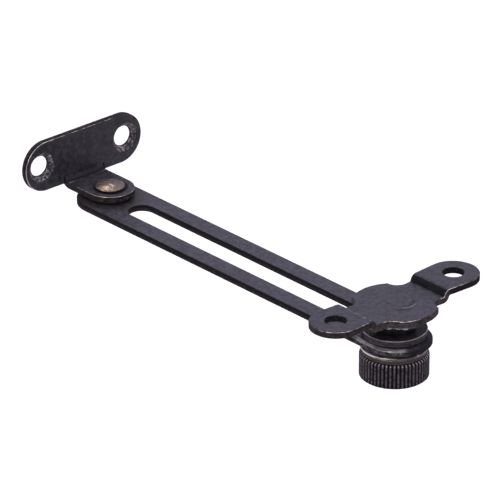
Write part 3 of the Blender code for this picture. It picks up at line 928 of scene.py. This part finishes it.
def wear_plate_edge(bm, layers):
    """Rubs the blank's edge and paints its highlight, pulls down its burr with a painted highlight, and
    paints the ears' sides dark as shade.
    """
    wear_and_light_layer, cut_layer = layers
    for vert in bm.verts:
        flat = vert.co.xy
        vert[wear_and_light_layer] *= plate_rub_and_highlight(*flat)
        if vert[cut_layer] > 0.35 and vert.co.z < -0.1 * SHEET:
            hang = front_burr(*flat)
            vert.co.z -= hang
            # The burr's lowest part is painted bright as a highlight
            vert[wear_and_light_layer] = max(vert[wear_and_light_layer], 1.6 * hang / MM if vert.co.z < -0.5 * SHEET else 0.0)
        # The ears' sheared sides are painted dark as shade, the far ear's more
        if vert[cut_layer] > 0.7:
            darkest = 0.75 if flat.y > 0.0 else 0.5
            vert[wear_and_light_layer] -= darkest * fade(abs(flat.y), 10 * MM, 13 * MM)


def marked_face(bm):
    """The disc's marked middle: a round grid out to the edge of the tool's marks. Returns its rim."""
    steps = 2 * ROUND_STEPS
    middle = bm.verts.new((0.0, 0.0, SHEET / 2))
    radii = [MARKED_RADIUS * (ring + 1) / MARK_RINGS for ring in range(MARK_RINGS)]
    grid = [round_ring(bm, radius, SHEET / 2, steps) for radius in radii]
    for step in range(steps):
        bm.faces.new((middle, grid[0][step], grid[0][step - 1]))
    join_rings(bm, grid)
    return grid[-1]


def mark_disc(bm, wear_and_light_layer):
    """Presses the tool's marks into the disc's top, and paints their ridges light as highlight and their
    grooves dark as shade.
    """
    for vert in bm.verts:
        from_middle = vert.co.xy.length
        if from_middle < MARKED_RADIUS and vert.co.z > 0.45 * SHEET:
            mark = tool_marks(vert.co.x, vert.co.y) * min(1.0, (MARKED_RADIUS - from_middle) / MM)
            vert.co.z += MARK_DEPTH * mark
            # Painted highlight on the marks' ridges and painted shade in their grooves
            vert[wear_and_light_layer] = 0.55 * mark


def blind_hole(bm, layers):
    """The stud's hole, from the sheet's underside up to a ceiling just below the riveted-over top."""
    half = SHEET / 2
    profile = [(0.0, half - SPIGOT_COVER, 0.0, 1.0), (0.0, -half + SUPPORT, 0.0, 1.0)]
    profile.append((SUPPORT, -half, 0.0, 0.0))
    top, bottom = wall(bm, layers, hole(0.0, 0.0, SPIGOT_HOLE), profile)
    bm.faces.new(top)
    return bottom


def step_ears(bm, layers, disc_middle):
    """Steps both ears up by the sheet's thickness and lifts the plate to its height.

    The far step's top is painted dark as shade, and the near one's is rubbed and painted as a highlight.
    """
    wear_and_light_layer, cut_layer = layers
    length = joggle_lengths()[1]
    places = [length * step / JOGGLE_STEPS for step in range(JOGGLE_STEPS + 1)]
    slice_across(bm, [FAR_JOGGLE_START + place for place in places])
    slice_across(bm, [-NEAR_JOGGLE_START - place for place in places])
    for vert in bm.verts:
        side = math.copysign(1.0, vert.co.y)
        start = FAR_JOGGLE_START if side > 0.0 else NEAR_JOGGLE_START
        out, up = joggle_place(start, side * vert.co.y, vert.co.z)
        past = (side * vert.co.y - start) / length
        on_top = vert[cut_layer] < 0.2 and vert.co.z > 0.0
        # Painted shade on the far step's top, and a painted highlight on the near step's top
        if on_top and side > 0.0 and FAR_STEP_SHADE[0] < past < FAR_STEP_SHADE[1]:
            vert[wear_and_light_layer] = -0.9 if noise.noise(vert.co / (0.6 * MM)) < 0.36 else -0.6
        if on_top and side < 0.0 and NEAR_STEP_RUB_AND_HIGHLIGHT[0] < past < NEAR_STEP_RUB_AND_HIGHLIGHT[1]:
            vert[wear_and_light_layer] = 0.48
        vert.co.y = side * out
        vert.co.z = up + disc_middle


def make_frame_plate():
    """The disc with its marked top, and the two ears with their screw holes."""
    length, run = joggle_lengths()[1:]
    ear_hole = EAR_HOLE_SPACING / 2 + length - run
    bm, *layers = new_mesh()
    top, bottom = wall(bm, layers, frame_outline(ear_hole), edge_profile(PLATE_EDGE), PLATE_SWAY)
    wear_plate_edge(bm, layers)
    tops = [top, marked_face(bm)]
    bottoms = [bottom, blind_hole(bm, layers)]
    # The ear holes' walls are painted dark as shade
    shaded_hole_wall = [(*place, -0.85 * cut, cut) for *place, wear_and_light, cut in edge_profile(EAR_HOLE_EDGE)]
    for side in (-1, 1):
        top, bottom = wall(bm, layers, hole(0.0, side * ear_hole, SCREW_HOLE), shaded_hole_wall, EAR_HOLE_SWAY)
        tops.append(top)
        bottoms.append(bottom)
    cap(bm, tops)
    cap(bm, bottoms)
    mark_disc(bm, layers[0])
    step_ears(bm, layers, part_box("frame_plate")[1].z - 1.5 * SHEET)
    return bm


# --- Clamp stud and thumb nut ---


def thread_radius(height, angle):
    """Radius of the stud's right-hand thread at a height and an angle about its axis."""
    phase = (height / THREAD_PITCH - angle / (2 * math.pi)) % 1.0
    share = fade(abs(2 * phase - 1), THREAD_FLAT, THREAD_FLAT + THREAD_FLANK)
    share = 0.5 * share + 0.5 * share * share * (3 - 2 * share)
    return THREAD_CREST - (THREAD_CREST - THREAD_ROOT) * share


def thread_rings(bm, high, low, extra, limit_top, limit_low):
    """A thread's surface, top to bottom. Returns its first and last rings.

    Extra is added to the stud's radius. Each limit turns a radius and a height into the radius kept there.
    """
    rows = math.ceil((high - low) / THREAD_PITCH * ROWS_PER_PITCH)
    rings = []
    for row in range(rows + 1):
        height = high + (low - high) * row / rows
        ring = []
        for step in range(HOLE_STEPS):
            angle = 2 * math.pi * step / HOLE_STEPS
            radius = limit_low(limit_top(thread_radius(height, angle) + extra, height), height)
            ring.append(bm.verts.new((radius * math.cos(angle), radius * math.sin(angle), height)))
        rings.append(ring)
    join_rings(bm, rings)
    return rings[0], rings[-1]


def make_stud():
    """Spigot, shoulder, and the threaded shank."""
    low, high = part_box("clamp_stud")
    shoulder = (high.x - low.x) / 2
    disc_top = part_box("frame_plate")[1].z - SHEET
    spigot_top = disc_top - SPIGOT_DEPTH
    shoulder_top = disc_top - SHEET - GAP
    shoulder_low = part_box("upper_washer")[1].z + GAP
    profile = [(SPIGOT_RADIUS - STUD_EDGE, spigot_top), (SPIGOT_RADIUS, spigot_top - STUD_EDGE)]
    profile += [(SPIGOT_RADIUS, shoulder_top), (shoulder - STUD_EDGE, shoulder_top)]
    profile += [(shoulder, shoulder_top - STUD_EDGE), (shoulder, shoulder_low + STUD_EDGE)]
    profile += [(shoulder - STUD_EDGE, shoulder_low), (THREAD_ROOT, shoulder_low)]
    bm = new_mesh()[0]
    rings = [round_ring(bm, radius, height) for radius, height in profile]
    bm.faces.new(rings[0])
    join_rings(bm, rings)

    def near_shoulder(radius, height):
        return THREAD_ROOT + (radius - THREAD_ROOT) * min(1.0, (shoulder_low - height) / THREAD_RUNOUT)

    def near_tip(radius, height):
        return min(radius, THREAD_CREST - TIP_CHAMFER + (height - low.z))

    top, bottom = thread_rings(bm, shoulder_low, low.z, 0.0, near_shoulder, near_tip)
    join_rings(bm, [rings[-1], top])
    bmesh.ops.remove_doubles(bm, verts=rings[-1] + top, dist=SAME_PLACE)
    tip = round_ring(bm, 0.5 * THREAD_ROOT, low.z + TIP_HEIGHT)
    join_rings(bm, [bottom, tip])
    bm.faces.new(tip)
    return bm


def nut_rows(low, high, face, outer):
    """The nut's outside from top to bottom, as (height, largest radius)."""
    rows = [(high, face - 0.1 * MM), (high, face)]
    for share in CHAMFER_SHARES:
        rows.append((high - NUT_CHAMFER * share, face + (outer - face) * min(share, 1.0)))
    for part in range(1, NUT_SIDE_ROWS):
        share = NUT_SIDE_START + (1 - 2 * NUT_SIDE_START) * part / NUT_SIDE_ROWS
        rows.append((high + (low - high) * share, outer))
    for share in reversed(CHAMFER_SHARES):
        rows.append((low + NUT_CHAMFER * share, face + (outer - face) * min(share, 1.0)))
    return rows + [(low, face), (low, face - 0.1 * MM)]


def make_nut():
    """A straight knurl between two chamfers, flat faces and a threaded bore."""
    low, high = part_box("thumb_nut")
    outer = (high.x - low.x) / 2
    face = outer - NUT_FACE_MARGIN
    columns = NUT_RIDGES * RIDGE_STEPS
    bm, wear_and_light_layer, cut_layer = new_mesh()
    rings = []
    for height, limit in nut_rows(low.z, high.z, face, outer):
        ring = []
        for column in range(columns):
            angle = 2 * math.pi * column / columns
            climb = 0.5 - 0.5 * math.cos(2 * math.pi * column / RIDGE_STEPS)
            ridge = outer - KNURL_DEPTH * (1.0 - min(1.0, 1.25 * climb)) ** 1.3
            radius = min(ridge, limit)
            vert = bm.verts.new((radius * math.cos(angle), radius * math.sin(angle), height))
            ring.append(vert)
            if limit < face:
                continue
            on_chamfer = limit < outer and height > (low.z + high.z) / 2 and radius > face + 0.05 * MM
            crest = (1.05 if on_chamfer else 0.25) * fade(climb, *CREST)
            foot = fade(height, low.z + NUT_FOOT, low.z)
            # The crests are worn; the grooves, and the knurl towards the bottom face, are painted dark as
            # shade
            vert[wear_and_light_layer] = crest - 1.2 * (1.0 - climb) ** 2 - 1.1 * foot
            vert[cut_layer] = climb
        rings.append(ring)
    join_rings(bm, rings)
    inside = THREAD_CREST + THREAD_CLEARANCE + NUT_BORE_CHAMFER

    def near_top(radius, height):
        return max(radius, inside - (high.z - height))

    def near_low(radius, height):
        return max(radius, inside - (height - low.z))

    top, bottom = thread_rings(bm, high.z, low.z, THREAD_CLEARANCE, near_top, near_low)
    cap(bm, [rings[0], top])
    cap(bm, [rings[-1], bottom])
    return bm


# --- The object ---


def make_finishes():
    """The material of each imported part's piece."""
    return {
        "sash_bracket": black_bronze(
            "bracket_finish", coat=(0.0198, 0.019, 0.0228), side=(0.018, 0.015, 0.015),
            worn=(0.4, 0.36, 0.34), mottled=0.4,
        ),
        "slotted_arm": black_bronze(
            "arm_finish", coat=(0.0135, 0.0125, 0.0185), side=(0.011, 0.0095, 0.0105),
            worn=(0.24, 0.225, 0.225), stained=True,
        ),
        "frame_plate": black_bronze(
            "plate_finish", coat=(0.0115, 0.0105, 0.0155), side=(0.042, 0.033, 0.033),
            worn=(0.43, 0.39, 0.38),
        ),
        "upper_washer": black_bronze(
            "washer_finish", coat=(0.011, 0.01, 0.011), side=(0.04, 0.034, 0.036), worn=GREY_WEAR
        ),
        "lower_washer": black_bronze(
            "lower_washer_finish", coat=(0.011, 0.01, 0.011), side=(0.048, 0.037, 0.033), worn=BROWN_WEAR
        ),
        "thumb_nut": black_bronze(
            "nut_finish", coat=(0.009, 0.007, 0.009), side=(0.07, 0.059, 0.065), worn=GREY_WEAR
        ),
        "clamp_stud": black_bronze(
            "stud_finish", coat=(0.006, 0.0055, 0.007), side=(0.02, 0.016, 0.016), worn=BROWN_WEAR
        ),
        "spring_washer": bare_steel(
            "spring_finish", dark=(0.03, 0.026, 0.025), light=(0.1, 0.085, 0.078),
            worn=(0.5, 0.47, 0.45), roughness=0.38,
        ),
        "pivot_washer": bare_steel(
            "steel_finish", dark=(0.05, 0.047, 0.05), light=(0.12, 0.11, 0.11),
            worn=(0.3, 0.28, 0.27), roughness=0.42,
        ),
        "pivot_rivet": rubbed_highlit_bronze("rivet_finish"),
    }


def build():
    finishes = make_finishes()

    def add(name, bm, place, node, body):
        add_piece(name, bm, place, node, body, finishes[node])

    add("bracket_formed", make_sash_bracket(), ORIGIN, "sash_bracket", "sash")
    add("rivet_domed", make_rivet(), PIVOT, "pivot_rivet", "arm")
    thin = make_flat_washer("pivot_washer", RIVET_HOLE, 0.06 * MM)
    add("pivot_washer_thin", thin, PIVOT, "pivot_washer", "arm")
    add("arm_strip", make_arm(), PIVOT, "slotted_arm", "arm")
    add("plate_pressed", make_frame_plate(), CLAMP, "frame_plate", "frame")
    add("stud_threaded", make_stud(), CLAMP, "clamp_stud", "frame")
    upper = make_flat_washer("upper_washer", WASHER_BORE, 0.25 * MM, sway=0.02 * MM)
    add("washer_upper", upper, CLAMP, "upper_washer", "swivel_washer")
    add("spring_dished", make_spring_washer(), CLAMP, "spring_washer", "spring_stack")
    lower = make_flat_washer("lower_washer", WASHER_BORE, 0.2 * MM, sway=0.03 * MM)
    add("washer_lower", lower, CLAMP, "lower_washer", "spring_stack")
    add("nut_knurled", make_nut(), CLAMP, "thumb_nut", "nut")


# --- Studio ---


def toward(azimuth, elevation):
    """The unit vector from the object to a viewer at that azimuth and elevation, in degrees."""
    turn = math.radians(azimuth)
    rise = math.radians(elevation)
    return Vector((math.sin(turn) * math.cos(rise), -math.cos(turn) * math.cos(rise), math.sin(rise)))


def aim(item, target, way, distance):
    """Places an item at that distance from the target, on the way given, looking at it."""
    item.location = target + way * distance
    item.rotation_mode = "QUATERNION"
    item.rotation_quaternion = (-way).to_track_quat("-Z", "Y")
    bpy.context.scene.collection.objects.link(item)


def add_softbox(name, target, way, distance, size, power, tint):
    lamp = bpy.data.lights.new(name, "AREA")
    lamp.shape = "RECTANGLE"
    lamp.size, lamp.size_y = size
    lamp.energy = power
    lamp.color = tint
    aim(bpy.data.objects.new(name, lamp), target, way, distance)


def sky():
    """A pale surround, violet up the sides, with a dark band at the horizon and the floor's tone below it."""
    world = bpy.data.worlds.new("studio")
    world.use_nodes = True
    nodes = world.node_tree.nodes
    links = world.node_tree.links
    place = nodes.new("ShaderNodeTexCoord")
    parts = nodes.new("ShaderNodeSeparateXYZ")
    links.new(place.outputs["Generated"], parts.inputs[0])
    share = nodes.new("ShaderNodeMapRange")
    share.inputs["From Min"].default_value = -1.0
    links.new(parts.outputs["Z"], share.inputs["Value"])
    tint = nodes.new("ShaderNodeValToRGB")
    tint.color_ramp.interpolation = "EASE"
    stops = tint.color_ramp.elements
    stops[0].position, stops[1].position = [0.5 + 0.5 * SKY_STOPS[end][0] for end in (0, -1)]
    stops[0].color, stops[1].color = [(*SKY_STOPS[end][1], 1.0) for end in (0, -1)]
    for height, colour in SKY_STOPS[1:-1]:
        stops.new(0.5 + 0.5 * height).color = (*colour, 1.0)
    links.new(share.outputs["Result"], tint.inputs["Fac"])
    links.new(tint.outputs["Color"], nodes["Background"].inputs["Color"])
    nodes["Background"].inputs["Strength"].default_value = SKY_STRENGTH
    return world


def add_floor(place):
    mesh = bpy.data.meshes.new("floor")
    bm = bmesh.new()
    bmesh.ops.create_grid(bm, x_segments=8, y_segments=8, size=FLOOR_REACH)
    bm.to_mesh(mesh)
    bm.free()
    pale = bpy.data.materials.new("pale_floor")
    pale.use_nodes = True
    shader = pale.node_tree.nodes["Principled BSDF"]
    shader.inputs["Base Color"].default_value = FLOOR_COLOUR
    shader.inputs["Roughness"].default_value = FLOOR_ROUGHNESS
    mesh.materials.append(pale)
    floor = bpy.data.objects.new("floor", mesh)
    floor.location = place
    bpy.context.scene.collection.objects.link(floor)


def studio():
    low, high = CAD_BOX
    middle = (low + high) / 2
    lens = bpy.data.cameras.new("camera")
    lens.sensor_width = CAMERA_SENSOR
    lens.lens = CAMERA_LENS
    camera = bpy.data.objects.new("camera", lens)
    aim(camera, middle + CAMERA_OFFSET, toward(CAMERA_AZIMUTH, CAMERA_ELEVATION), CAMERA_DISTANCE)
    bpy.context.scene.camera = camera
    add_floor((middle.x, middle.y, low.z - FLOOR_DROP))
    bpy.context.scene.world = sky()
    bpy.context.scene.view_settings.view_transform = "Standard"
    above = toward(azimuth=200.0, elevation=70.0)
    beside = toward(azimuth=15.0, elevation=35.0)
    add_softbox("overhead", middle, above, distance=1.4, size=(1.6, 1.6), power=22.0, tint=(0.97, 0.96, 1.0))
    add_softbox("key", middle, beside, distance=0.9, size=(0.4, 0.5), power=4.0, tint=(1.0, 0.95, 0.9))


build()
studio()
